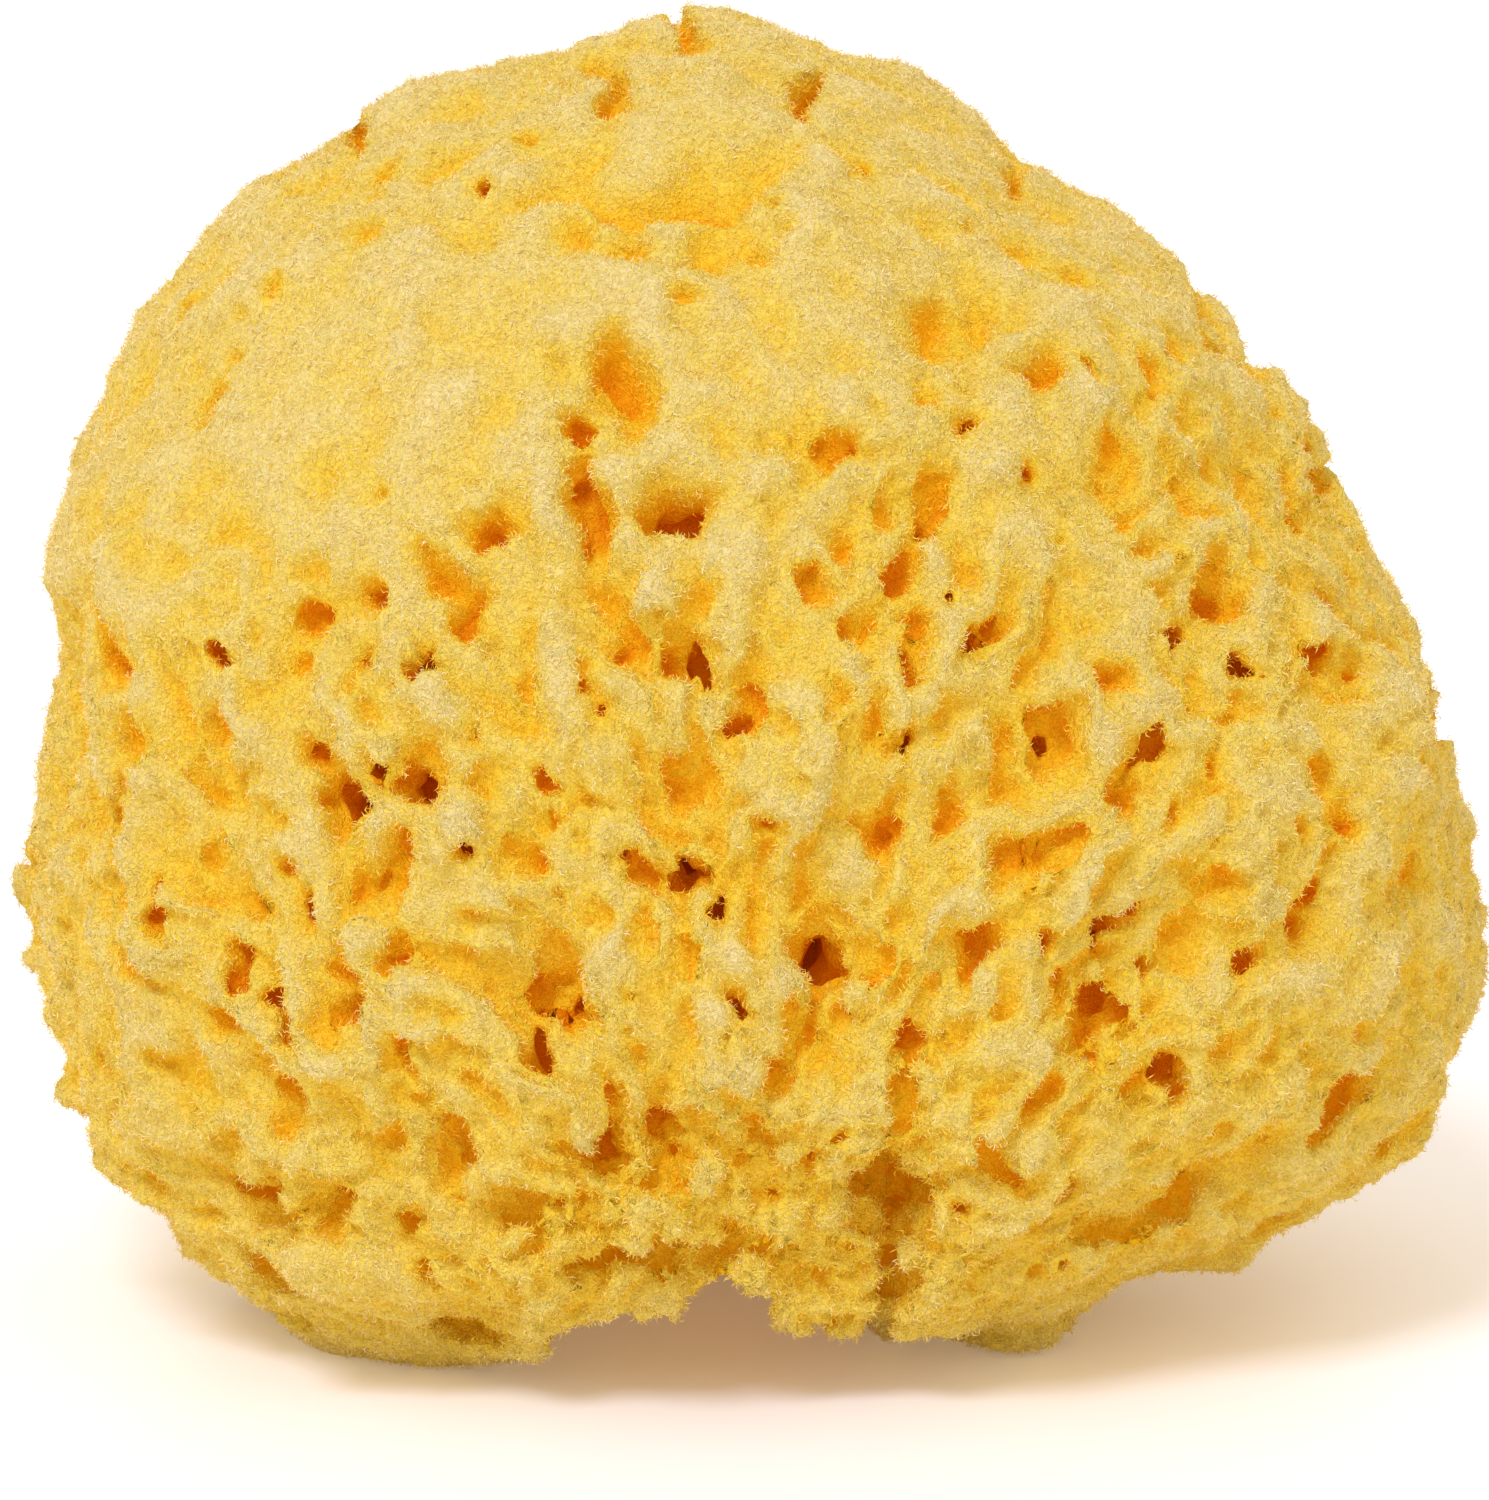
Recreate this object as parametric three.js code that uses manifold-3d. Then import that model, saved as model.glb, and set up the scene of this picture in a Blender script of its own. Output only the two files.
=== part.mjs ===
// A natural bath sponge: one grown piece, cut flat where it stood on the sea bed.
// Millimetres, +Z up. Its broad face looks towards -Y, and the origin is on the cut,
// under the middle of the body.
import * as THREE from 'three';
import { mergeVertices } from 'three/addons/utils/BufferGeometryUtils.js';
import Module from 'manifold-3d';

// Driving dimensions.
const WIDTH = 150; // of the finished body, along X
const HALF_DEPTH = 58; // front and back of the body, from its middle
const CENTRE_HEIGHT = 46; // the level that the outline's radii are measured from
const FULLNESS = 2.4; // 2 gives the body an elliptical section, and more fills its corners
const BODY_DETAIL = 12; // subdivisions of the body's icosahedron
const CANAL_DETAIL = 1;
const HOLLOW_DETAIL = 2;
const ROOT = new THREE.Vector3(0, 0, 8); // the canals run down towards this point
const LIP_RISE = 7; // how far a canal's cutter stands out of the body
const CANAL_TAPER = 0.5; // width at a canal's closed end, as a share of its mouth

// Radius of the front outline every 15 degrees, from +X up over the top and round.
const OUTLINE = [
  74, 70, 71, 72, 77, 81, 87, 88, 87, 84, 80, 75,
  74, 75, 73, 70, 62, 58, 58, 58, 60, 64, 72, 76,
];

// Broad swellings and the smaller knobs on them: height and wavelength.
const SWELLINGS = [
  { height: 1.5, wave: 46 },
  { height: 0.9, wave: 19 },
];

// The widest canals on the broad face: x and z of the mouth, its width, its length
// along the way the canals fan out, and how deep it goes.
const FACE_CANALS = [
  [-5, 80, 5, 7, 26], [7, 48, 6, 9, 34], [-8, 94, 5, 6, 20], [18, 93, 4, 6, 18],
  [-40, 64, 5, 6, 18], [-32, 65, 5, 5, 16], [35, 49, 5, 5, 20], [34, 40, 4, 7, 20],
  [30, 70, 4, 6, 16], [17, 110, 5, 8, 14], [-13, 104, 5, 10, 12], [-16, 90, 4, 9, 12],
  [-13, 79, 6, 5, 12], [-7, 66, 7, 7, 12], [-21, 57, 4, 9, 12], [12, 62, 9, 8, 16],
  [46, 82, 5, 5, 12], [37, 66, 4, 14, 8], [56, 60, 5, 14, 8], [-43, 83, 6, 6, 10],
  [-62, 73, 5, 5, 10], [-37, 54, 7, 5, 10], [-20, 44, 8, 7, 14], [-9, 29, 8, 8, 12],
  [4, 39, 10, 4, 12], [-47, 18, 6, 5, 12], [-29, 26, 7, 7, 10], [-63, 29, 4, 4, 8],
];

// Canals on the rest of the body follow a spiral over it.
const SPIRAL_CANALS = 46;
const GOLDEN_ANGLE = Math.PI * (3 - Math.sqrt(5));
const FACE_EDGE = -0.35; // the spiral leaves the broad face to the list above
const LOWEST_MOUTH = 14;

// Long hollows: centre, half sizes, and turn about Y in degrees.
const HOLLOWS = [
  { at: [0, -46, 0], half: [14, 20, 10], turn: 0 }, // the arch under the front edge
  { at: [15, -55, 13], half: [2.4, 16, 15], turn: 6 }, // the cleft beside it
  { at: [-6, -42, 119], half: [15, 12, 3], turn: 4 }, // the fold under the top lobes
  { at: [50, -42, 17], half: [24, 13, 3.5], turn: -26 }, // the fold above the lower rim
  { at: [-46, -40, 8], half: [9, 12, 3], turn: 8 }, // the fold at the lower left
];

const wasm = await Module();
wasm.setup();

/** A closed geometry as a solid that can be cut. */
function toSolid(geometry) {
  const bare = geometry.clone();
  bare.deleteAttribute('normal');
  bare.deleteAttribute('uv');
  const merged = mergeVertices(bare);
  return new wasm.Manifold(new wasm.Mesh({
    numProp: 3,
    vertProperties: new Float32Array(merged.attributes.position.array),
    triVerts: new Uint32Array(merged.index.array),
  }));
}

/** A solid as a geometry, for a mesh. */
function toGeometry(solid) {
  const { vertProperties, triVerts } = solid.getMesh();
  const geometry = new THREE.BufferGeometry();
  geometry.setAttribute('position', new THREE.BufferAttribute(vertProperties, 3));
  geometry.setIndex(new THREE.BufferAttribute(triVerts, 1));
  geometry.computeVertexNormals();
  return geometry;
}

/** Moves every vertex of a geometry to where place says. */
function reshape(geometry, place) {
  const position = geometry.attributes.position;
  const vertex = new THREE.Vector3();
  for (let i = 0; i < position.count; i += 1) {
    place(vertex.fromBufferAttribute(position, i));
    position.setXYZ(i, vertex.x, vertex.y, vertex.z);
  }
  return geometry;
}

/** The outline's radius in a direction, through its points in one smooth curve. */
function outlineRadius(angle) {
  const count = OUTLINE.length;
  const turns = ((angle / (2 * Math.PI)) % 1 + 1) % 1;
  const first = Math.floor(turns * count);
  const share = turns * count - first;
  const [a, b, c, d] = [-1, 0, 1, 2].map((step) => OUTLINE[(first + step + count) % count]);
  return b + 0.5 * share * (c - a
    + share * (2 * a - 5 * b + 4 * c - d + share * (3 * (b - c) + d - a)));
}

/** Where a direction from the middle of the body meets its smooth envelope. */
function onEnvelope({ x, y, z }) {
  const radius = outlineRadius(Math.atan2(z, x));
  const size = (Math.hypot(x, z) ** FULLNESS + Math.abs(y) ** FULLNESS) ** (1 / FULLNESS);
  return new THREE.Vector3(radius * x, HALF_DEPTH * y, radius * z)
    .divideScalar(size)
    .add(new THREE.Vector3(0, 0, CENTRE_HEIGHT));
}

/** The envelope's outward direction there. */
function outwards({ x, y, z }) {
  const radius = outlineRadius(Math.atan2(z, x));
  return new THREE.Vector3(x / radius, y / HALF_DEPTH, z / radius).normalize();
}

/** The direction that meets the broad face at this x and z. */
function faceDirection(x, z) {
  const rise = z - CENTRE_HEIGHT;
  const reach = Math.hypot(x, rise) / outlineRadius(Math.atan2(rise, x));
  const forward = (1 - reach ** FULLNESS) ** (1 / FULLNESS);
  return new THREE.Vector3(x, 0, rise).setLength(reach).setY(-forward);
}

/** Rounded swellings, from -1 to 1 or so, that repeat every wave. */
function swelling(point, wave) {
  const [x, y, z] = point.toArray().map((value) => (value * 2 * Math.PI) / wave);
  return Math.sin(x) * Math.cos(y) + Math.sin(y) * Math.cos(z) + Math.sin(z) * Math.cos(x);
}

function makeBody() {
  const blob = reshape(new THREE.IcosahedronGeometry(1, BODY_DETAIL), (vertex) => {
    const direction = vertex.clone().normalize();
    const point = onEnvelope(direction);
    const rise = SWELLINGS.reduce((sum, { height, wave }) => sum + height * swelling(point, wave), 0);
    vertex.copy(point).addScaledVector(outwards(direction), rise);
  });
  return toSolid(blob);
}

/** A cutter for one canal: an oval mouth that narrows on its way towards the root. */
function makeCanal(direction, width, length, depth) {
  const mouth = onEnvelope(direction);
  const outward = outwards(direction);
  const inward = ROOT.clone().sub(mouth).normalize().sub(outward).normalize();
  const across = new THREE.Vector3().crossVectors(inward, outward).normalize();
  const along = new THREE.Vector3().crossVectors(inward, across);
  const oval = reshape(new THREE.IcosahedronGeometry(1, CANAL_DETAIL), (vertex) => {
    const { x, y, z } = vertex;
    const narrowing = 1 - (1 - CANAL_TAPER) * Math.max(z, 0);
    vertex.copy(mouth)
      .addScaledVector(across, x * narrowing * width / 2)
      .addScaledVector(along, y * narrowing * length / 2)
      .addScaledVector(inward, z * (z > 0 ? depth : LIP_RISE));
  });
  return toSolid(oval);
}

function faceCanals() {
  return FACE_CANALS.map(([x, z, width, length, depth]) => (
    makeCanal(faceDirection(x, z), width, length, depth)));
}

function spiralCanals() {
  const canals = [];
  for (let i = 0; i < SPIRAL_CANALS; i += 1) {
    const height = 1 - (2 * (i + 0.5)) / SPIRAL_CANALS;
    const spread = Math.sqrt(1 - height * height);
    const angle = i * GOLDEN_ANGLE;
    const direction = new THREE.Vector3(
      spread * Math.cos(angle), spread * Math.sin(angle), height,
    );
    if (direction.y > FACE_EDGE && onEnvelope(direction).z > LOWEST_MOUTH) {
      const width = 5 + 1.5 * Math.sin(2.3 * i);
      canals.push(makeCanal(direction, width, 1.4 * width, 12 + 5 * Math.cos(1.7 * i)));
    }
  }
  return canals;
}

function makeHollow({ at, half, turn }) {
  const oval = new THREE.IcosahedronGeometry(1, HOLLOW_DETAIL);
  oval.scale(...half);
  oval.rotateY(THREE.MathUtils.degToRad(turn));
  oval.translate(...at);
  return toSolid(oval);
}

/** What the flat cut takes off below the body. */
function makeGround() {
  const size = 4 * HALF_DEPTH;
  return toSolid(new THREE.BoxGeometry(size, size, size).translate(0, 0, -size / 2));
}

function makeSponge() {
  const cutters = [...faceCanals(), ...spiralCanals(), ...HOLLOWS.map(makeHollow), makeGround()];
  const solid = cutters.reduce((body, cutter) => body.subtract(cutter), makeBody());
  const geometry = toGeometry(solid);
  geometry.computeBoundingBox();
  const middle = geometry.boundingBox.getCenter(new THREE.Vector3());
  const scale = WIDTH / (geometry.boundingBox.max.x - geometry.boundingBox.min.x);
  geometry.translate(-middle.x, -middle.y, 0).scale(scale, scale, scale);
  const sponge = new THREE.Mesh(geometry, new THREE.MeshStandardMaterial({
    color: 0xedbf4a, roughness: 0.95, metalness: 0,
  }));
  sponge.name = 'sponge';
  return sponge;
}

const part = new THREE.Group();
part.add(makeSponge());

export default part;
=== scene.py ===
"""A natural bath sponge standing on its flat cut, on a pale studio floor.

The body is one closed mesh: a rounded blob with canals, folds and pits carved into it, then
roughened into ridges and soft clumps. Short threads stand all over it. Shapes are worked out in
millimetres and turned into metres at the end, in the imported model's frame: +Z up, broad face
towards -Y.
"""

import math
import random

import bmesh
import bpy
import numpy as np
from mathutils import Matrix, Vector, bvhtree, kdtree, noise


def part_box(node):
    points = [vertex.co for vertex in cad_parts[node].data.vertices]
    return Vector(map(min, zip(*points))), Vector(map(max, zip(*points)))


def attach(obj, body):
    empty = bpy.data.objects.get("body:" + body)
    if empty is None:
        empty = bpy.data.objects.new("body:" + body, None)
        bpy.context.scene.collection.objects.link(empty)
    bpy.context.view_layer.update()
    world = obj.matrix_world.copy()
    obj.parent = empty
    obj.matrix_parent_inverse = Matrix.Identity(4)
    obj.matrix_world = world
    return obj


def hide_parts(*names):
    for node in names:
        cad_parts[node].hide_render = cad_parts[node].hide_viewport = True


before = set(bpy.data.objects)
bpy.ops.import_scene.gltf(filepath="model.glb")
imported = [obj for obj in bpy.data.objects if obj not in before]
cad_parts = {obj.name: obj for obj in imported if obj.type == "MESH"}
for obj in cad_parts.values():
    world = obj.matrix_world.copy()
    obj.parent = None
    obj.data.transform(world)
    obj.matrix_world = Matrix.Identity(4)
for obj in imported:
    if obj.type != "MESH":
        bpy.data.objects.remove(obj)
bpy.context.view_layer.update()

MM = 0.001  # metres in a millimetre
SEED = 11
noise.seed_set(SEED)  # else the vector noise starts from the clock, and differs on each run

# ---------------------------------------------------------------- the body's outer shape

HALF_DEPTH = 58
CENTRE = Vector((0, 0, 46))  # the outline's radii are measured from here
FULLNESS = 2.4  # 2 gives an elliptical section, and more fills its corners
OUTLINE = (  # radius every 15 degrees, from +X up over the top and round
    76, 75, 73, 75, 78.5, 81.5, 88, 88.3, 87.8, 86.5, 83.5, 75,
    74.5, 75, 71, 66, 58, 53, 51, 50.5, 54, 57, 68, 75,
)
ROOT = Vector((0, 0, 8))  # the canals run down towards this point
GROWTH = 1.045  # the body is built this much larger than it ends up
BACK_RISE = 0.1  # how much higher the top is towards the back than on the broad face
BACK_RISE_FROM, BACK_RISE_OVER = 0.6, 80  # it starts at this share of this height
FAN_STRETCH = 1.7  # hills and clumps are this much longer along the way the canals fan out
FAN_REACH = 60  # how far from the root they are as wide as they are said to be
FAN_START = 28  # nearer the root than this they get no narrower
HILLS = ((34, 2.0), (15, 2.6), (7.5, 2.0))  # wavelength and height
DOMES = ((12, 2.4), (6.5, 1.0))  # width and height
CALM_TOP, CALM_CUT, CALM_RIM = 0.55, 0.45, 0.2  # how much calmer the skin is there
LEAST_BUSY = 0.35
DIP = 0.75  # depth of the dip at a canal's mouth, as a share of its width
WIDEST_DIP = 4.5  # a wider mouth has no deeper dip than this width's
STEP = (-10, 15, 6.5, 9)  # the fold under the top's lobes: middle, half width, depth, height above
STEP_FOOT = 122
STEP_BACK = (-31, -8)  # y of the fold, and of the back of the slope above it
BLOB_SUBDIVISIONS = 7


def outline_radius(angle):
    """The front outline's radius in a direction, through its points in one smooth curve."""
    count = len(OUTLINE)
    place = (angle / math.tau) % 1 * count
    first = int(place)
    t = place - first
    a, b, c, d = (OUTLINE[(first + step) % count] for step in (-1, 0, 1, 2))
    return b + 0.5 * t * (c - a + t * (2 * a - 5 * b + 4 * c - d + t * (3 * (b - c) + d - a)))


def on_envelope(direction):
    """Where a direction from the middle of the body meets its smooth envelope."""
    x, y, z = direction
    radius = outline_radius(math.atan2(z, x))
    size = (math.hypot(x, z) ** FULLNESS + abs(y) ** FULLNESS) ** (1 / FULLNESS)
    point = CENTRE + Vector((radius * x, HALF_DEPTH * y, radius * z)) / size
    point.z += BACK_RISE * point.y * max(0, point.z / BACK_RISE_OVER - BACK_RISE_FROM)
    return point


def outwards(direction):
    """The envelope's outward direction there."""
    x, y, z = direction
    radius = outline_radius(math.atan2(z, x))
    return Vector((x / radius, y / HALF_DEPTH, z / radius)).normalized()


def face_direction(x, z):
    """The direction that meets the broad face at this x and z of the finished sponge."""
    x, rise = GROWTH * x, GROWTH * z - CENTRE.z
    reach = min(0.999, math.hypot(x, rise) / outline_radius(math.atan2(rise, x)))
    forward = (1 - reach ** FULLNESS) ** (1 / FULLNESS)
    across = Vector((x, 0, rise)).normalized() * reach
    return Vector((across.x, -forward, across.z))


def fanned(point):
    """A point in coordinates that are squeezed along the way the canals fan out."""
    x, y, z = point - ROOT
    reach = max(math.hypot(x, z), FAN_START)
    share = (FAN_REACH + (reach - FAN_REACH) / FAN_STRETCH) / reach
    return Vector((x * share, y, z * share))


def share_between(start, end, value):
    """0 before the start, 1 past the end, and evenly between."""
    return min(1, max(0, (value - start) / (end - start)))


def busy_at(point):
    """How rough and full of pits the skin is: least on the top, at the rim and near the cut."""
    high = share_between(80, 112, point.z - 0.25 * point.x)
    low = share_between(18, 4, point.z)
    rim = share_between(50, 74, math.hypot(point.x, point.z - 50))
    calm_top = CALM_TOP * high * high * (3 - 2 * high)
    return max(LEAST_BUSY, 1 - calm_top - CALM_CUT * low - CALM_RIM * rim)


def dome_at(point, width):
    """From 0.5 in the middle of a rounded clump to below 0 in the crease between two."""
    off = noise.voronoi(point / width)[0][0]
    return 0.5 - off * off


def step_at(point):
    """How far the slope above the fold under the top's lobes is sunk, deepest right at the fold."""
    x, y, z = point
    middle, half, deep, rise = STEP
    across = (x - middle) / half
    if abs(across) >= 1 or y > 0:
        return 0
    wave = Vector((x, 0, 0)) / 5
    above = (z - STEP_FOOT - 4 * across * across - 1.2 * noise.noise(wave)) / rise
    if not 0 < above < 1:
        return 0
    return deep * min(1, above / 0.07) * (1 - above) ** 1.4 * (1 - across * across) ** 0.6


def make_blob(canals):
    """The rounded body before anything is carved out of it: hills, and a dip at each canal's mouth."""
    bm = bmesh.new()
    bmesh.ops.create_icosphere(bm, subdivisions=BLOB_SUBDIVISIONS, radius=1)
    ways = {}
    for vert in bm.verts:
        direction = vert.co.normalized()
        point = on_envelope(direction)
        fan = fanned(point)
        rise = sum(size * noise.noise(fan / wave) for wave, size in HILLS)
        rise += sum(size * dome_at(fan, width) for width, size in DOMES)
        rise *= 0.4 + 0.6 * busy_at(point)
        rise -= step_at(point)
        ways[vert.index] = outwards(direction)
        vert.co = point + ways[vert.index] * rise
    bm.verts.ensure_lookup_table()
    tree = kdtree.KDTree(len(bm.verts))
    for vert in bm.verts:
        tree.insert(vert.co, vert.index)
    tree.balance()
    for direction, width, length, _depth, _twist in canals:
        mouth = on_envelope(direction)
        uphill = (mouth - ROOT).normalized()
        middle = mouth + uphill * (0.35 * length)
        reach_across = 0.8 * width + 1.5
        reach_along = 0.9 * length + 2.2
        for co, index, _gap in tree.find_range(middle, reach_along + 1):
            offset = co - middle
            up = offset.dot(uphill)
            across = (offset - uphill * up).length
            near = 1 - (up / reach_along) ** 2 - (across / reach_across) ** 2
            if near > 0:
                dip = DIP * min(width, WIDEST_DIP) * near * near
                bm.verts[index].co -= ways[index] * dip
    return bm


# ---------------------------------------------------------------- canals, pits and folds

# The openings on the broad face, one by one: x and z of the mouth, its width, its length along
# the way the canals fan out from the root, and how deep the canal goes.
FACE_CANALS = (
    (-5, 80, 4.5, 7, 22), (7, 48, 5, 8, 24), (-6, 57, 2, 5, 14), (-8, 94, 5, 5, 18),
    (18, 93, 3, 5.5, 16), (21, 101, 2, 3, 5), (-40, 64, 3.6, 5, 16), (-32, 65, 3.6, 4, 15),
    (35, 49, 3.6, 4, 16), (34, 41, 3, 5, 16), (34, 37, 2.4, 4, 14), (40, 79, 2.6, 2.4, 7),
    (30, 70, 3.2, 5, 16), (-16, 27, 2.2, 2.4, 14), (-21, 38, 1.8, 5, 14), (25, 26, 3, 2, 12),
    (31, 23, 1.6, 3.5, 12), (43, 34, 2, 2, 12), (-19, 63, 1.6, 3, 12), (7, 86, 1.2, 3.5, 4),
    (-52, 76, 1.6, 4, 10), (-43, 68, 1.6, 2.6, 10), (-39, 44, 2, 3, 12), (-24, 92, 1.4, 3, 4),
    (14, 23, 7, 8, 24),
)
# Shallower hollows of the same kind, whose skin the tone paints orange, partly as painted shade.
FACE_PITS = (
    (17, 110, 5, 8, 5), (-13, 104, 4.5, 10, 5), (-17, 96, 3, 4, 4), (-16, 91, 3.6, 9, 5),
    (-15, 85, 4, 3, 4), (-13, 80, 5.5, 4, 4), (1, 74, 4, 4, 4), (-7, 66, 7, 7, 5),
    (-15, 64, 3, 2.4, 4), (-21, 57, 3.6, 8, 4), (-18, 53, 2.4, 3, 4), (-10, 57, 4, 3, 4),
    (12, 62, 9.5, 7.5, 6), (22, 49, 3, 6, 4), (23, 70, 3.5, 4, 4), (25, 81, 1.6, 3, 3),
    (25, 60, 2, 4, 4), (1, 100, 1.6, 2, 3), (23, 108, 1.6, 3, 4), (-7, 113, 1.6, 3, 3),
    (33, 110, 1.6, 3, 3), (29, 104, 2.6, 5, 4), (40, 101, 3, 4, 4), (46, 82, 4, 4, 4),
    (37, 66, 3, 15, 4), (56, 60, 3.6, 15, 4), (54, 50, 2.6, 6, 4), (49, 47, 3, 5, 4),
    (68, 50, 3, 3, 4), (56, 74, 1.4, 4, 3), (-43, 83, 6.5, 5, 5), (-36, 86, 2.6, 2.4, 4),
    (-30, 87, 2.6, 5, 4), (-27, 84, 2.4, 5, 4), (-32, 78, 2.2, 3, 4), (-62, 73, 4, 5, 4),
    (-62, 52, 2.6, 6, 4), (-37, 54, 5.5, 6, 5), (-34, 41, 3, 2.6, 4), (-20, 44, 7.5, 7, 5),
    (-9, 29, 7.5, 8, 5), (1, 37, 2.6, 6, 4), (6, 40, 10, 3.4, 5), (15, 28, 7, 3.6, 5),
    (-47, 18, 6, 5.4, 9), (-41, 21, 4.6, 4.4, 8), (-29, 26, 6, 6, 5), (-33, 19, 4, 2.4, 4),
    (-35, 30, 2, 2, 4), (-63, 29, 3, 4, 4), (-55, 27, 2, 1.6, 3),
    (-21, 121, 3, 3.4, 4), (-17, 118.6, 4, 3, 4), (-12, 117.5, 4, 2.6, 4), (-5, 117.6, 5, 2.6, 4),
    (0, 118, 4, 2.4, 4),
)
NARROWING = 0.45  # how much of its width a canal loses on its way down
ABOVE_MOUTH = 9  # how far a canal's cutter stands out of the skin
MOUTH_ROOM = 1.3  # the openings are carved this much wider, because the fuzz closes them in
# Long hollows: centre, half sizes, and turn about Y in degrees.
HOLLOWS = (
    ((-5, -27, -1.5), (20, 40, 14), 0),  # the arch under the front edge
    ((-1.5, -27, -1), (9, 40, 19), 0),
    ((-14, -50, -5), (20, 14, 10), 4),  # and the edge lifted beside it
    ((19, -45, -2), (16.5, 24, 10), 0), ((42, -42, -3), (20, 22, 9), -14),
)
# Folds in the broad face: x and z of the middle, half sizes, and turn about Y.
FOLDS = (
    (46, 24, (16, 8, 3.4), -30), (52, 13, (16, 8, 2.8), -26), (60, 30, (9, 7, 2.2), -44),
    (-46, 11, (8, 7, 2.2), 18), (-33, 7, (9, 7, 1.8), 6), (-52, 21, (10, 6, 2), 24),
    (-9, 17, (11, 7, 3), -6),  # over the arch
    (13, 10, (1.8, 18, 13), 5), (14.5, 22, (3.8, 17, 4), 5),  # the cleft beside the arch
)
# Clefts between the lobes of the rim: x, y and z, width and reach inwards.
RIM_CLEFTS = (
    (-15, -3, 131, 3.2, 10), (-7, 10, 132, 2.4, 4), (6, -7, 130, 3.4, 10), (28, 5, 119, 4, 4),
    (58, 5, 88, 4, 3), (71, 5, 61, 4, 3), (-73, 5, 47, 3, 3), (-71, 5, 71, 3, 3),
    (-39, 5, 122, 2.4, 2.5), (-47, 0, 5, 4, 4), (66, 0, 17, 4, 4),
)
SIDE_CANALS = 190  # large openings on the sides and back, and under the cut
MEDIUM_PITS = 850  # all round, before the calmest skin drops some
SMALL_PITS = 1300
FACE_EDGE = -0.45  # the large openings on the broad face are all in the lists above
WARPS = ((16, 2.0), (6, 1.2), (2.8, 0.5))  # wavelength and size of the bends in everything


def unit_ball(subdivisions):
    """The points and triangles of a ball of radius 1."""
    bm = bmesh.new()
    bmesh.ops.create_icosphere(bm, subdivisions=subdivisions, radius=1)
    points = np.array([vert.co[:] for vert in bm.verts])
    triangles = np.array([[vert.index for vert in face.verts] for face in bm.faces])
    bm.free()
    return points / np.linalg.norm(points, axis=1, keepdims=True), triangles


BALL, FINE_BALL = unit_ball(2), unit_ball(4)


class Cutters:
    """Closed balls that are each pushed into a shape of their own, gathered for one mesh."""

    def __init__(self):
        self.points, self.triangles, self.count = [], [], 0

    def add(self, ball, place):
        unit, triangles = ball
        self.points.append(place(*unit.T[:, :, None]))
        self.triangles.append(triangles + self.count)
        self.count += len(unit)

    def object(self, name):
        mesh = bpy.data.meshes.new(name)
        mesh.from_pydata(np.concatenate(self.points), [], np.concatenate(self.triangles))
        return new_object(name, mesh)


def add_canal(cutters, direction, width, length, depth, twist, shift=(0, 0)):
    """A canal: an oval mouth that narrows and bends on its way down towards the root."""
    mouth = on_envelope(direction)
    outward = outwards(direction)
    inward = ((ROOT - mouth).normalized() - outward * 1.1).normalized()
    across = inward.cross(outward)
    if across.length < 0.05:
        across = inward.orthogonal()
    across.normalize()
    along = inward.cross(across)
    turned = across * math.cos(twist) + along * math.sin(twist)
    along = np.array(along * math.cos(twist) - across * math.sin(twist))
    across, inward, mouth = np.array(turned), np.array(inward), np.array(mouth)
    mouth = mouth + across * shift[0] + along * shift[1]

    def place(x, y, z):
        down = np.maximum(z, 0)
        narrowing = 1 - NARROWING * down
        return (
            mouth
            + across * (x * narrowing * width / 2)
            + along * (y * narrowing * length / 2 + 0.2 * depth * down * down)
            + inward * (z * np.where(z > 0, depth, ABOVE_MOUTH))
        )

    cutters.add(BALL, place)


def add_large_canal(cutters, rng, direction, width, length, depth, twist):
    """A canal whose mouth has smaller ones round it, which scallop its edge."""
    width, length = width + MOUTH_ROOM, length + MOUTH_ROOM
    add_canal(cutters, direction, width, length, depth, twist)
    for _ in range(2 + int(length / 2)):
        turn = rng.uniform(0, math.tau)
        shift = 0.42 * width * math.cos(turn), 0.42 * length * math.sin(turn)
        size = rng.uniform(0.3, 0.6) * min(width, 5)
        wide = size * rng.uniform(0.7, 1.3)
        add_canal(cutters, direction, wide, size, rng.uniform(0.4, 0.9) * depth, twist, shift)


def add_hollow(cutters, at, half, turn):
    turned = np.array(Matrix.Rotation(math.radians(turn), 3, "Y"))
    cutters.add(FINE_BALL, lambda x, y, z: at + np.hstack((x, y, z)) * half @ turned.T)


def add_fold(cutters, x, z, half, turn):
    add_hollow(cutters, np.array(on_envelope(face_direction(x, z))), half, turn)


def add_rim_cleft(cutters, rng, x, y, z, width, reach):
    """A narrow crooked cut across the rim, from front to back, pointing at the middle."""
    way = (Vector((x, 0, z)) - CENTRE).normalized()
    outward, side = np.array(way), np.array(way.cross(Vector((0, 1, 0))))
    for step in (-1, 0, 1):
        middle = np.array(on_envelope(way)) + side * rng.uniform(-0.9, 0.9)
        middle = middle + (0, y + step * 6 + rng.uniform(-1, 1), 0)
        lean = rng.uniform(-0.4, 0.4)
        long = np.array((0, 1, 0)) * math.cos(lean) + side * math.sin(lean)
        wide, deep = width * rng.uniform(0.6, 1.1), reach * rng.uniform(0.6, 1.1)
        cutters.add(FINE_BALL, lambda u, v, w: (
            middle + side * (u * wide / 2) + long * (v * 5) + outward * (w * deep)
        ))


def spread_directions(rng, count, gap):
    """Directions all round, at random but never closer than gap."""
    found = np.empty((0, 3))
    for _ in range(40 * count):
        z, turn = rng.uniform(-1, 1), rng.uniform(0, math.tau)
        flat = math.sqrt(1 - z * z)
        way = np.array((flat * math.cos(turn), flat * math.sin(turn), z))
        if (found @ way < 1 - gap * gap / 2).all():
            found = np.vstack((found, way))
            if len(found) == count:
                break
    return [Vector(way) for way in found]


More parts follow.
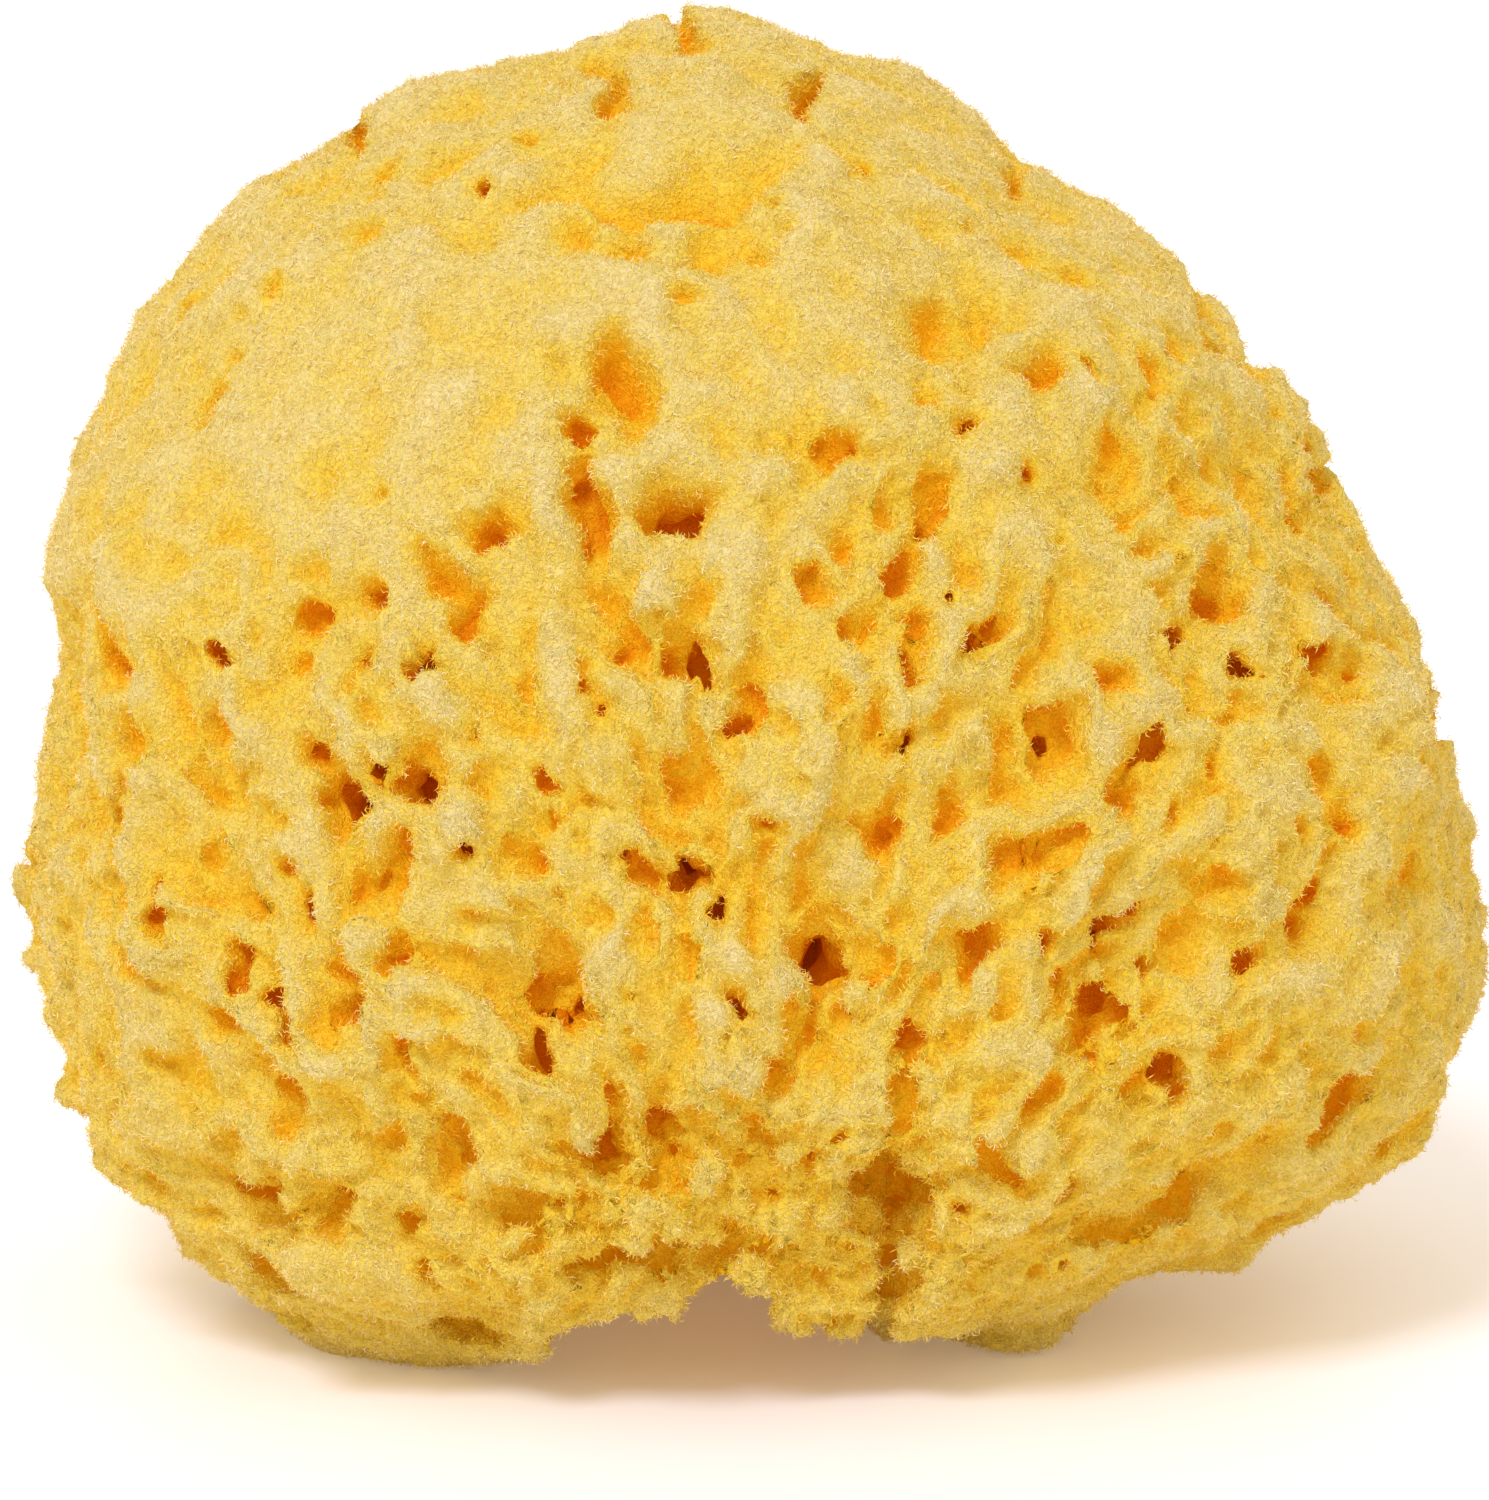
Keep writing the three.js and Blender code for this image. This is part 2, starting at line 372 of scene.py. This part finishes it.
def pit_directions(rng, count, gap):
    """Directions all round, fewer where the skin is calm."""
    ways = spread_directions(rng, count, gap)
    return [way for way in ways if rng.random() < busy_at(on_envelope(way))]


def choose_canals(rng):
    """The large canals: direction from the middle, width, length, depth and twist."""
    large = [
        (face_direction(x, z), width, length, depth, rng.uniform(-0.3, 0.3))
        for x, z, width, length, depth in FACE_CANALS + FACE_PITS
    ]
    for direction in pit_directions(rng, SIDE_CANALS, 0.15):
        if direction.y > FACE_EDGE:
            width = rng.uniform(2, 5.5) * busy_at(on_envelope(direction))
            depth = rng.uniform(12, 20) if rng.random() < 0.4 else rng.uniform(4, 7)
            large.append((direction, width, width * rng.uniform(1, 1.9), depth, rng.uniform(-0.5, 0.5)))
    return large


def make_cutters(rng, large):
    cutters = Cutters()
    for canal in large:
        add_large_canal(cutters, rng, *canal)
    for direction in pit_directions(rng, MEDIUM_PITS, 0.07):
        width = rng.uniform(2.0, 4.2) * (0.4 + 0.6 * busy_at(on_envelope(direction)))
        length = width * rng.uniform(0.9, 2)
        add_canal(cutters, direction, width, length, rng.uniform(2, 6), rng.uniform(-0.6, 0.6))
    for direction in pit_directions(rng, SMALL_PITS, 0.035):
        width = rng.uniform(1.2, 2.1)
        length = width * rng.uniform(0.9, 1.8)
        add_canal(cutters, direction, width, length, rng.uniform(1.0, 2.4), rng.uniform(-0.6, 0.6))
    for hollow in HOLLOWS:
        add_hollow(cutters, *hollow)
    for fold in FOLDS:
        add_fold(cutters, *fold)
    for cleft in RIM_CLEFTS:
        add_rim_cleft(cutters, rng, *cleft)
    return cutters.object("cutters")


# ---------------------------------------------------------------- mesh steps

def new_object(name, mesh):
    obj = bpy.data.objects.new(name, mesh)
    bpy.context.scene.collection.objects.link(obj)
    return obj


def object_from(bm, name):
    mesh = bpy.data.meshes.new(name)
    bm.to_mesh(mesh)
    bm.free()
    return new_object(name, mesh)


def apply_modifier(obj, kind, **settings):
    """Adds a modifier, sets it and makes its result the object's mesh."""
    modifier = obj.modifiers.new(kind.lower(), kind)
    for key, value in settings.items():
        setattr(modifier, key, value)
    graph = bpy.context.evaluated_depsgraph_get()
    made = bpy.data.meshes.new_from_object(obj.evaluated_get(graph), depsgraph=graph)
    obj.modifiers.clear()
    old, obj.data = obj.data, made
    bpy.data.meshes.remove(old)


def fuse(obj, voxel, least):
    """Makes one even closed skin out of whatever closed shapes the object holds.

    Any closed part that holds less than this many cubic millimetres is left out, and so is
    any bubble inside.
    """
    apply_modifier(obj, "REMESH", mode="VOXEL", voxel_size=voxel, use_smooth_shade=True)
    mesh = obj.data
    points, quads = coordinates(mesh).astype(float), corners(mesh, 4)
    part = parts_of(mesh)[quads[:, 0]]
    a, b, c, d = (points[quads[:, k]] for k in range(4))
    volume = (a * (np.cross(b, c) + np.cross(c, d))).sum(1) / 6
    kept = np.bincount(part, volume)[part] > least
    used, faces = np.unique(quads[kept], return_inverse=True)
    obj.data = bpy.data.meshes.new(obj.name)
    obj.data.from_pydata(points[used], [], faces.reshape(-1, 4))
    bpy.data.meshes.remove(mesh)


def carve(obj, cutter):
    apply_modifier(obj, "BOOLEAN", operation="DIFFERENCE", solver="MANIFOLD", object=cutter)
    bpy.data.objects.remove(cutter)


def rows(mesh_items, key, kind=np.float32, width=3):
    """One property of every vertex or face, as the rows of an array."""
    found = np.empty(len(mesh_items) * width, kind)
    mesh_items.foreach_get(key, found)
    return found.reshape(-1, width)


def coordinates(mesh):
    return rows(mesh.vertices, "co")


def normals(mesh):
    return rows(mesh.vertex_normals, "vector")


def corners(mesh, width=3):
    return rows(mesh.polygons, "vertices", np.int32, width)


def parts_of(mesh):
    """A number for each vertex, the same all over each connected part."""
    a, b = rows(mesh.edges, "vertices", np.int32, 2).T
    part = np.arange(len(mesh.vertices))
    while (part[a] != part[b]).any():
        lower = np.minimum(part[a], part[b])
        np.minimum.at(part, part[a], lower)
        np.minimum.at(part, part[b], lower)
        part = part[part]
    return part


def set_coordinates(mesh, points):
    mesh.vertices.foreach_set("co", np.asarray(points, np.float32).ravel())
    mesh.update()


def smoothed(mesh, values, times):
    """Each vertex's value, averaged with its neighbours' over and over."""
    a, b = rows(mesh.edges, "vertices", np.int32, 2).T
    count = len(mesh.vertices)
    near = np.bincount(a, minlength=count) + np.bincount(b, minlength=count) + 1
    for _ in range(times):
        total = np.bincount(a, values[b], count) + np.bincount(b, values[a], count) + values
        values = total / near
    return values


# ---------------------------------------------------------------- the body

CUTTER_VOXEL = 0.45
BODY_VOXEL = 0.55
FINISHED_VOXEL = 0.5
BODY_TRIANGLES = 198_000
LEAST_PART = 1000  # cubic millimetres
GROUND = 300  # side of the block below the cut
RIDGES = ((9, 2.2), (4.6, 2.3))  # width and height
RIDGE_LEVEL = 0.22  # the noise at which the skin neither rises nor sinks
SOFT_SHARE, SOFT_SWING, SOFT_PATCH = 0.35, 1.6, 22  # where clumps take the ridges' place
FINE_RIDGES = (2.6, 1.1)
CLUMPS = (4.6, 1.5)
SWAY = (13, 3.5)  # wavelength and size of the bends in the ridges
GRIT = (1.6, 0.2)
CUT_EDGE = 1.5  # no roughness right at the cut, and all of it from this height up


def warp(mesh):
    """Bends everything a little, so that no opening keeps an oval mouth."""
    moved = []
    for point in map(Vector, coordinates(mesh).tolist()):
        shift = Vector()
        for wave, size in WARPS:
            shift += noise.noise_vector(point / wave) * size
        moved.append(point + shift)
    set_coordinates(mesh, moved)


def swaying(point):
    """A point in the coordinates of the ridges, which fan out and sway."""
    wave, size = SWAY
    return fanned(point + noise.noise_vector(point / wave) * size)


def ridge_at(fan, width, height):
    """A sharp ridge with a round valley on either side."""
    return 2 * height * (RIDGE_LEVEL - abs(noise.noise(fan / width)))


def relief_at(point):
    """How far the skin stands out, in millimetres: sharp ridges or soft clumps."""
    fan = swaying(point)
    softness = min(1, max(0, SOFT_SHARE + SOFT_SWING * noise.noise(point / SOFT_PATCH)))
    rise = sum(ridge_at(fan, width, height) for width, height in RIDGES)
    width, height = CLUMPS
    rise = rise * (1 - 0.6 * softness) + softness * height * dome_at(fan, width)
    return rise * busy_at(point)


def fine_relief_at(point):
    """The same for the finest ridges and the grit on them."""
    wave, height = GRIT
    rise = ridge_at(swaying(point), *FINE_RIDGES) * busy_at(point)
    return rise + height * noise.fractal(point / wave, 1.0, 2.0, 2)


def roughen(mesh, relief):
    """Raises and sinks the skin, but leaves the cut flat."""
    points, ways = coordinates(mesh), normals(mesh)
    rises = np.array([relief(Vector(point)) for point in points.tolist()])
    lift = np.clip(points[:, 2] / CUT_EDGE, 0, 1)
    points = points + ways * (rises * lift)[:, None]
    points[:, 2] = np.maximum(points[:, 2], 0)
    set_coordinates(mesh, points)


def fit_to_frame(mesh):
    """Brings the body from its own millimetres to the size and place of the CAD solid, in metres."""
    low, high = np.array(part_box("sponge"))
    points = coordinates(mesh)
    own_low, own_high = points.min(0), points.max(0)
    own_low[2] = 0
    set_coordinates(mesh, low + (points - own_low) / (own_high - own_low) * (high - low))


RAYS = 18
RAY_REACH = 14 * MM


def ray_fan():
    """Directions spread over a half ball round +Z."""
    ways = []
    for i in range(RAYS):
        z = 1 - (i + 0.5) / RAYS * 0.92
        flat, turn = math.sqrt(1 - z * z), i * math.pi * (3 - math.sqrt(5))
        ways.append(Vector((flat * math.cos(turn), flat * math.sin(turn), z)))
    return ways


def openness_of(mesh):
    """For each vertex, the share of the sky above it that no nearby wall covers."""
    points, ways = coordinates(mesh), normals(mesh)
    tree = bvhtree.BVHTree.FromPolygons(points.tolist(), corners(mesh).tolist())
    fan = ray_fan()
    found = np.zeros(len(points))
    for i, (point, way) in enumerate(zip(points.tolist(), ways.tolist())):
        way = Vector(way)
        start = Vector(point) + way * (0.15 * MM)
        turned = way.to_track_quat("Z", "Y").to_matrix()
        clear = 0
        for ray in fan:
            hit = tree.ray_cast(start, turned @ ray, RAY_REACH)[3]
            clear += 1 if hit is None else hit / RAY_REACH
        found[i] = clear / RAYS
    return found


def crest_of(mesh, times):
    """How far each vertex stands out from the smoothed skin, in millimetres."""
    points = coordinates(mesh)
    level = np.stack([smoothed(mesh, column, times) for column in points.T], 1)
    return ((points - level) * normals(mesh)).sum(1) / MM


EVEN_BELOW = (15, 40)  # the heights where the lower edge is all even, and where that ends
EVEN_TONE, EVENNESS = 0.7, 0.4


def sheltered_shade_at(point):
    """How much painted shade makes the sheltered slope above the top's fold more golden, from 0 to 1.
    """
    x, y, z = point
    middle, half, _deep, _rise = STEP
    if z < 95 or y < STEP_BACK[0] - 1.5 * noise.noise(Vector((x, 0, 0)) / 5):
        return 0
    across = (x - middle) / half
    return max(0, 1 - across * across) * min(1, max(0, (STEP_BACK[1] - y) / 20))


def paint(mesh, gold):
    """Stores each vertex's tone: 0 at the bottom of a canal, 1 on the top of a clump.

    What looks up is painted a little paler than what looks down, and where nearby walls
    cover the sky the tone is lower: painted shade, and partly the sponge's own paler,
    bleached outside. The lower edge is more even.
    """
    open_to = smoothed(mesh, openness_of(mesh), 2)
    crest = smoothed(mesh, crest_of(mesh, 12), 1)
    even_to, uneven_from = EVEN_BELOW
    height = coordinates(mesh)[:, 2] / MM
    low = np.clip((uneven_from - height) / (uneven_from - even_to), 0, 1)
    # painted shade and light: openness, faces that look down and the sheltered slope lower the tone;
    # the pale open crests are partly the sponge's own bleached colour
    tone = 0.02 + 0.86 * open_to + 0.12 * crest + 0.03 * normals(mesh)[:, 2] - 0.13 * gold
    tone += EVENNESS * low * (EVEN_TONE - tone)
    for name, values in (("openness", open_to), ("tone", np.clip(tone, 0, 1))):
        mesh.attributes.new(name, "FLOAT", "POINT").data.foreach_set("value", values.astype(np.float32))


def make_body():
    rng = random.Random(SEED)
    large = choose_canals(rng)
    body = object_from(make_blob(large), "sponge_body")
    cutters = make_cutters(rng, large)
    fuse(cutters, CUTTER_VOXEL, 0)
    carve(body, cutters)
    warp(body.data)
    ground = bmesh.new()
    bmesh.ops.create_cube(ground, size=GROUND, matrix=Matrix.Translation((0, 0, -GROUND / 2)))
    carve(body, object_from(ground, "ground"))
    fuse(body, BODY_VOXEL, LEAST_PART)
    roughen(body.data, relief_at)
    fuse(body, FINISHED_VOXEL, LEAST_PART)
    roughen(body.data, fine_relief_at)
    triangles = sum(len(p.vertices) - 2 for p in body.data.polygons)
    apply_modifier(body, "DECIMATE", ratio=BODY_TRIANGLES / triangles, use_collapse_triangulate=True)
    # painted shade on the slope sheltered by the top's lobes
    gold = np.array([sheltered_shade_at(point) for point in coordinates(body.data).tolist()])
    fit_to_frame(body.data)
    body.data.polygons.foreach_set("use_smooth", [True] * len(body.data.polygons))
    paint(body.data, gold)
    return body


# ---------------------------------------------------------------- fibres

FUZZ_PIECES = 5
THREADS_A_PIECE = 97_000  # two triangles each
THREAD_LENGTH = (0.5, 1.05)
THREAD_WIDTH = (0.09, 0.15)
THREAD_CURL = 0.42  # how far a thread's middle stands off the line between its ends, at most
SHELTERED, EXPOSED = 0.35, 0.6  # no threads where the skin is less open, and all where it is more


def unit_rows(given):
    return given / np.linalg.norm(given, axis=1, keepdims=True)


def thread_roots(mesh, rng, count):
    """Points spread over the skin where it is open, with their normals and tones."""
    points, ways, triangles = coordinates(mesh), normals(mesh), corners(mesh)
    open_to, tone = (
        rows(mesh.attributes[name].data, "value", width=1)[:, 0] for name in ("openness", "tone")
    )
    a, b, c = (points[triangles[:, k]] for k in range(3))
    area = np.linalg.norm(np.cross(b - a, c - a), axis=1)
    open_share = (open_to[triangles].mean(1) - SHELTERED) / (EXPOSED - SHELTERED)
    weight = area * np.clip(open_share, 0.01, 1) * np.where(a[:, 2] < 0.2 * MM, 0.25, 1)
    chosen = rng.choice(len(triangles), count, p=weight / weight.sum())
    u, v = rng.random(count), rng.random(count)
    flip = u + v > 1
    u[flip], v[flip] = 1 - u[flip], 1 - v[flip]
    shares = np.stack([1 - u - v, u, v], 1)[:, :, None]
    around = triangles[chosen]
    where, way = (points[around] * shares).sum(1), (ways[around] * shares).sum(1)
    return where, unit_rows(way), (tone[around] * shares[:, :, 0]).sum(1)


def make_fuzz(body, index):
    """One piece of fuzz: thousands of short curled threads that lie every way, in one mesh."""
    rng = np.random.default_rng(SEED + index)
    count = THREADS_A_PIECE
    root, way, tone = thread_roots(body.data, rng, count)
    level = unit_rows(np.cross(way, rng.normal(size=(count, 3))))
    lean = np.radians(rng.uniform(30, 88, count))[:, None]
    along = way * np.cos(lean) + level * np.sin(lean)
    side = unit_rows(np.cross(along, rng.normal(size=(count, 3))))
    length = rng.uniform(*THREAD_LENGTH, count)[:, None] * MM
    width = rng.uniform(*THREAD_WIDTH, count)[:, None] * MM
    curl = rng.uniform(-THREAD_CURL, THREAD_CURL, count)[:, None] * length
    root = root - way * (0.05 * MM)
    middle = root + along * length / 2 + side * curl
    tip = root + along * length
    points = np.stack([root, middle - side * width / 2, middle + side * width / 2, tip], 1)
    points[:, :, 2] = np.maximum(points[:, :, 2], 0)
    faces = (np.arange(count)[:, None, None] * 4 + np.array([[0, 1, 2], [3, 2, 1]])).reshape(-1, 3)
    mesh = bpy.data.meshes.new(f"fuzz_{index + 1}")
    mesh.from_pydata(points.reshape(-1, 3), [], faces)
    own = rng.random(count) * 0.9
    u = own[:, None] + np.array([0, 0.02, 0.02, 0.06, 0.02, 0.02])
    v = tone[:, None] + np.array([0, 0.02, 0, 0.02, 0, 0.02])
    layer = mesh.uv_layers.new(name="OFBake")
    layer.uv.foreach_set("vector", np.stack([u, v.clip(0, 1)], 2).astype(np.float32).ravel())
    return new_object(f"fuzz_{index + 1}", mesh)


# ---------------------------------------------------------------- finishes

class Value:
    """A node's output that can be used in sums, each of which adds its Math node."""

    def __init__(self, tree, socket):
        self.tree, self.socket = tree, socket

    def _math(self, operation, *inputs):
        node = self.tree.nodes.new("ShaderNodeMath")
        node.operation = operation
        for place, given in enumerate(inputs):
            if isinstance(given, Value):
                self.tree.links.new(given.socket, node.inputs[place])
            else:
                node.inputs[place].default_value = given
        return Value(self.tree, node.outputs[0])

    def __add__(self, other):
        return self._math("ADD", self, other)

    def __sub__(self, other):
        return self._math("SUBTRACT", self, other)

    def __mul__(self, other):
        return self._math("MULTIPLY", self, other)

    def __truediv__(self, other):
        return self._math("DIVIDE", self, other)

    def __pow__(self, other):
        return self._math("POWER", self, other)

    def __rsub__(self, other):
        return self._math("SUBTRACT", other, self)

    __radd__, __rmul__ = __add__, __mul__

    def clamped(self):
        return self._math("MINIMUM", self._math("MAXIMUM", self, 0.0), 1.0)


class Finish:
    """A material and the nodes that make it."""

    def __init__(self, name, roughness, gloss):
        self.material = bpy.data.materials.new(name)
        self.material.use_nodes = True
        self.tree = self.material.node_tree
        self.shader = self.tree.nodes["Principled BSDF"]
        self.shader.inputs["Roughness"].default_value = roughness
        self.shader.inputs["Specular IOR Level"].default_value = gloss

    def glow(self, colour, strength):
        """Light that the surface gives off, too faint to be sampled as a lamp."""
        self.shade(emission_color=colour, emission_strength=strength)
        self.material.cycles.emission_sampling = "NONE"

    def node(self, kind, settings=None, inputs=None, output=0):
        """Any node: its settings first, then its sockets' values or links."""
        node = self.tree.nodes.new(kind)
        for key, value in (settings or {}).items():
            if key == "stops":
                self._set_stops(node.color_ramp, value)
            else:
                setattr(node, key, value)
        for key, value in (inputs or {}).items():
            self.put(node.inputs[key], value)
        return Value(self.tree, node.outputs[output])

    def put(self, socket, value):
        if isinstance(value, Value):
            self.tree.links.new(value.socket, socket)
        else:
            socket.default_value = value

    def shade(self, **inputs):
        for key, value in inputs.items():
            self.put(self.shader.inputs[key.replace("_", " ").title()], value)

    @staticmethod
    def _set_stops(ramp, stops):
        while len(ramp.elements) < len(stops):
            ramp.elements.new(1)
        for element, (place, colour) in zip(ramp.elements, stops):
            element.position, element.color = place, linear(colour)


def linear(colour):
    """A colour given as the eye sees it, as the shader's numbers."""
    return [c / 12.92 if c <= 0.04045 else ((c + 0.055) / 1.055) ** 2.4 for c in colour] + [1]


# From the bottom of a canal to the top of a clump: the orange end is partly painted shade,
# the pale end partly the sponge's own bleached colour.
SPONGE_STOPS = (
    (0.0, (0.90, 0.54, 0.05)),
    (0.25, (0.925, 0.715, 0.115)),
    (0.5, (0.945, 0.805, 0.235)),
    (0.72, (0.94, 0.83, 0.38)),
    (0.86, (0.93, 0.835, 0.51)),
    (1.0, (0.955, 0.88, 0.64)),
)
# The light that seeps through the thin walls into a canal, but not under the sponge.
SEEPING_FROM, SEEPING_RISE = 0.003, 0.007
SEEPING_STOPS = (
    (0.0, (0.20, 0.05, 0.0)),
    (0.18, (0.40, 0.18, 0.0)),
    (0.35, (0.44, 0.28, 0.0)),
    (0.65, (0.28, 0.19, 0.0)),
    (0.9, (0.0, 0.0, 0.0)),
)


def seep(finish, tone, place):
    """Gives a finish the light that seeps through, by its tone and height."""
    glow = finish.node("ShaderNodeValToRGB", {"stops": SEEPING_STOPS}, {"Fac": tone})
    raised = finish.node("ShaderNodeSeparateXYZ", None, {0: place}, output=2)
    above = ((raised - SEEPING_FROM) * (1 / SEEPING_RISE)).clamped()
    dimmed = finish.node("ShaderNodeVectorMath", {"operation": "SCALE"}, {0: glow, 3: above})
    finish.glow(dimmed, 1.0)


def skin_finish():
    """Felted fibre: a fine net of pale threads over gold, and orange where the skin is shut in, which
    is partly painted shade.
    """
    finish = Finish("sponge_skin", roughness=0.95, gloss=0)
    place = finish.node("ShaderNodeTexCoord", output=3)
    tone = finish.node("ShaderNodeAttribute", {"attribute_name": "tone"}, output=2)
    wander = finish.node(
        "ShaderNodeTexNoise", None, {"Vector": place, "Scale": 1400.0, "Detail": 2.0}, output=1
    )
    bent = finish.node(
        "ShaderNodeVectorMath", {"operation": "MULTIPLY_ADD"},
        {0: wander, 1: (0.0007, 0.0007, 0.0007), 2: place},
    )
    gap = finish.node(
        "ShaderNodeTexVoronoi", {"feature": "DISTANCE_TO_EDGE"}, {"Vector": bent, "Scale": 1900.0}
    )
    thread = 1 - (gap * 3.2).clamped()
    speck = finish.node(
        "ShaderNodeTexNoise", None, {"Vector": place, "Scale": 3600.0, "Detail": 1.5}
    )
    patch = finish.node("ShaderNodeTexNoise", None, {"Vector": place, "Scale": 110.0, "Detail": 3.0})
    grain = thread * 0.5 + speck * 0.5
    spread = 0.12 + tone * 0.3
    shown = (tone + (patch - 0.5) * 0.2 + (grain - 0.6) * spread - 0.08).clamped()
    colour = finish.node("ShaderNodeValToRGB", {"stops": SPONGE_STOPS}, {"Fac": shown})
    bump = finish.node(
        "ShaderNodeBump", None, {"Height": grain, "Distance": 0.0004, "Strength": 0.8}
    )
    finish.shade(base_color=colour, normal=bump)
    seep(finish, tone, place)
    return finish.material


def fuzz_finish():
    """Single threads: each has its own tone across the map, and its root's tone, painted shade
    included, up it.
    """
    finish = Finish("sponge_fibre", roughness=0.95, gloss=0)
    across_up = finish.node("ShaderNodeUVMap", {"uv_map": "OFBake"})
    own, tone = (
        finish.node("ShaderNodeSeparateXYZ", None, {0: across_up}, output=k) for k in (0, 1)
    )
    shown = (tone + (own - 0.45) * 0.55).clamped()
    colour = finish.node("ShaderNodeValToRGB", {"stops": SPONGE_STOPS}, {"Fac": shown})
    finish.shade(base_color=colour)
    seep(finish, tone, finish.node("ShaderNodeTexCoord", output=3))
    return finish.material


def floor_finish():
    finish = Finish("white_floor", roughness=0.35, gloss=0.12)
    finish.shade(base_color=(0.96, 0.96, 0.96, 1))
    finish.glow((1, 0.78, 0.62, 1), 0.16)  # what the white room throws back into the shadow
    return finish.material


# ---------------------------------------------------------------- the sponge

body = make_body()
body.data.materials.clear()
body.data.materials.append(skin_finish())
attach(body, "root")
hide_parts("sponge")

fuzz_material = fuzz_finish()
for fuzz_index in range(FUZZ_PIECES):
    fuzz = make_fuzz(body, fuzz_index)
    fuzz.data.materials.append(fuzz_material)
    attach(fuzz, "root")

# ---------------------------------------------------------------- studio

LAMP_TURN, LAMP_RISE = math.radians(-25), math.radians(52)  # left of the camera, and above level
LAMP_SPREAD = math.radians(20)
LAMP_STRENGTH = 1.32
LAMP_COLOUR = (0.96, 1.0, 1.25)
ROOM_COLOUR = (1.0, 0.95, 0.90, 1)  # the walls' light, which is what fills the shadows
ROOM_STRENGTH = 0.86
FLOOR_HALF = 4


def add_softbox():
    """A broad, far softbox, which lights the whole floor alike."""
    data = bpy.data.lights.new("softbox", "SUN")
    data.angle, data.energy, data.color = LAMP_SPREAD, LAMP_STRENGTH, LAMP_COLOUR
    light = bpy.data.objects.new("softbox", data)
    bpy.context.scene.collection.objects.link(light)
    level = Vector((math.sin(LAMP_TURN), -math.cos(LAMP_TURN), 0))
    source = level * math.cos(LAMP_RISE) + Vector((0, 0, math.sin(LAMP_RISE)))
    light.rotation_euler = source.to_track_quat("Z", "Y").to_euler()


def make_studio():
    bm = bmesh.new()
    bmesh.ops.create_grid(bm, x_segments=1, y_segments=1, size=FLOOR_HALF)
    floor = object_from(bm, "floor")
    floor.data.materials.append(floor_finish())
    add_softbox()
    world = bpy.data.worlds.new("studio")
    world.use_nodes = True
    background = world.node_tree.nodes["Background"]
    background.inputs["Color"].default_value = ROOM_COLOUR
    background.inputs["Strength"].default_value = ROOM_STRENGTH
    bpy.context.scene.world = world
    bpy.context.scene.view_settings.view_transform = "Standard"


CAMERA_RISE = math.radians(12)
CAMERA_AWAY = 1.1
CAMERA_LENS = 262
AIM_HEIGHT = 56.5 * MM


def make_camera():
    data = bpy.data.cameras.new("camera")
    data.lens = CAMERA_LENS
    camera = bpy.data.objects.new("camera", data)
    bpy.context.scene.collection.objects.link(camera)
    back = Vector((0, -math.cos(CAMERA_RISE), math.sin(CAMERA_RISE)))
    camera.location = Vector((0, 0, AIM_HEIGHT)) + back * CAMERA_AWAY
    camera.rotation_euler = (-back).to_track_quat("-Z", "Y").to_euler()
    bpy.context.scene.camera = camera


make_studio()
make_camera()
